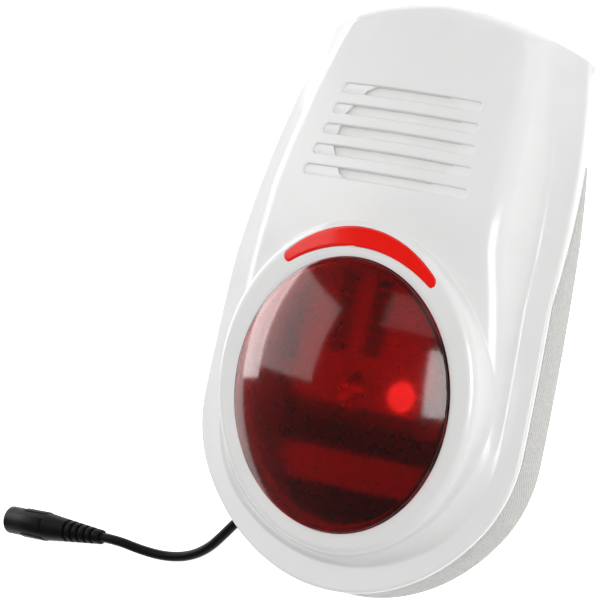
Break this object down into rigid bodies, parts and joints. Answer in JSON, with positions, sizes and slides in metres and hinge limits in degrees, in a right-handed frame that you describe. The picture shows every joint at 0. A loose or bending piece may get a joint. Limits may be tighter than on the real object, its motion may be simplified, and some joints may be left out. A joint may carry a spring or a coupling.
{
  "type": "alarm siren",
  "caption": "Shield-shaped strobe siren with a domed red lens, crescent light window, sound slots, textured base and a short power lead with an inline socket.",
  "frame": {"origin": "on the back plane, midway along and across the case", "axes": "+X to the right, +Y towards the arched top end, +Z out of the front; the siren lies on its back"},
  "size_m": [0.2294, 0.2157, 0.041],
  "materials": {
    "case_white_textured": "fine spark texture",
    "case_white_gloss": "gloss",
    "lens_dark_red": "transparent tint",
    "window_red": "translucent gloss",
    "gasket_rubber": "matte",
    "inner_plastic": "satin",
    "screw_steel": "zinc plated",
    "board_green": "solder mask",
    "shield_metal": "tin plated",
    "spring_brass": "bright",
    "chip_black": "moulded epoxy",
    "capacitor_sleeve": "shrink sleeve",
    "header_nylon": "nylon",
    "lamp_board_white": "white solder mask",
    "spacer_brass": "satin",
    "lamp_clear": "clear epoxy",
    "reflector_chrome": "mirror",
    "piezo_brass": "satin",
    "battery_wrap": "shrink wrap",
    "strap_steel": "brushed",
    "button_black": "satin",
    "button_red": "satin",
    "button_white": "satin",
    "cord_black": "smooth vinyl",
    "socket_black": "moulded vinyl",
    "socket_insert": "gloss",
    "contact_nickel": "nickel",
    "lead_red": "vinyl",
    "lead_black": "vinyl"
  },
  "bodies": {
    "base": {"base_shell": "case_white_textured", "cord_grommet": "gasket_rubber", "main_board": "board_green", "board_screws": "screw_steel", "radio_module": "shield_metal", "antenna_coil": "spring_brass", "controller_chips": "chip_black", "boost_coil": "chip_black", "capacitors": "capacitor_sleeve", "wire_headers": "header_nylon", "lamp_board": "lamp_board_white", "lamp_spacers": "spacer_brass", "lamp_screws": "screw_steel", "lamp_chips": "chip_black", "strobe_lamp": "lamp_clear", "strobe_reflector": "reflector_chrome", "arc_lights": "lamp_clear", "siren_housing": "inner_plastic", "piezo_disc": "piezo_brass", "siren_front": "inner_plastic", "siren_screws": "screw_steel", "battery_pack": "battery_wrap", "battery_strap": "strap_steel", "strap_screws": "screw_steel", "power_switch_body": "shield_metal", "learn_button_body": "button_black", "tamper_switch_body": "button_black", "dc_cord": "cord_black", "socket_body": "socket_black", "socket_sleeve": "socket_insert", "socket_pin": "contact_nickel", "battery_lead": "lead_red", "siren_lead": "lead_black"},
    "cover": {"front_cover": "case_white_gloss", "dome_lens": "lens_dark_red", "lens_gasket": "gasket_rubber", "lens_retainer": "inner_plastic", "lens_screws": "screw_steel", "arc_window": "window_red", "sound_baffle": "case_white_gloss"},
    "locking_screw": {"cover_screw": "screw_steel"},
    "switch_slider": {"power_switch_slider": "button_black"},
    "learn_button": {"learn_button_cap": "button_red"},
    "tamper": {"tamper_plunger": "button_white"}
  },
  "joints": [
    {"name": "cover_hinge", "type": "hinge", "parent": "base", "child": "cover", "pos_m": [0, 0.1032, 0.0004], "axis": [-1, 0, 0], "range_deg": [0, 35]},
    {"name": "locking_screw_travel", "type": "slide", "parent": "base", "child": "locking_screw", "axis": [0, 1, 0], "range_m": [0, 0.004]},
    {"name": "power_switch_slide", "type": "slide", "parent": "base", "child": "switch_slider", "axis": [0, 1, 0], "range_m": [0, 0.0024]},
    {"name": "learn_button_press", "type": "slide", "parent": "base", "child": "learn_button", "axis": [0, 0, -1], "range_m": [0, 0.0005], "stiffness_N_per_m": 400, "springref_m": -0.001},
    {"name": "tamper_press", "type": "slide", "parent": "base", "child": "tamper", "axis": [0, 0, -1], "range_m": [0, 0.0015], "stiffness_N_per_m": 200, "springref_m": -0.001}
  ]
}
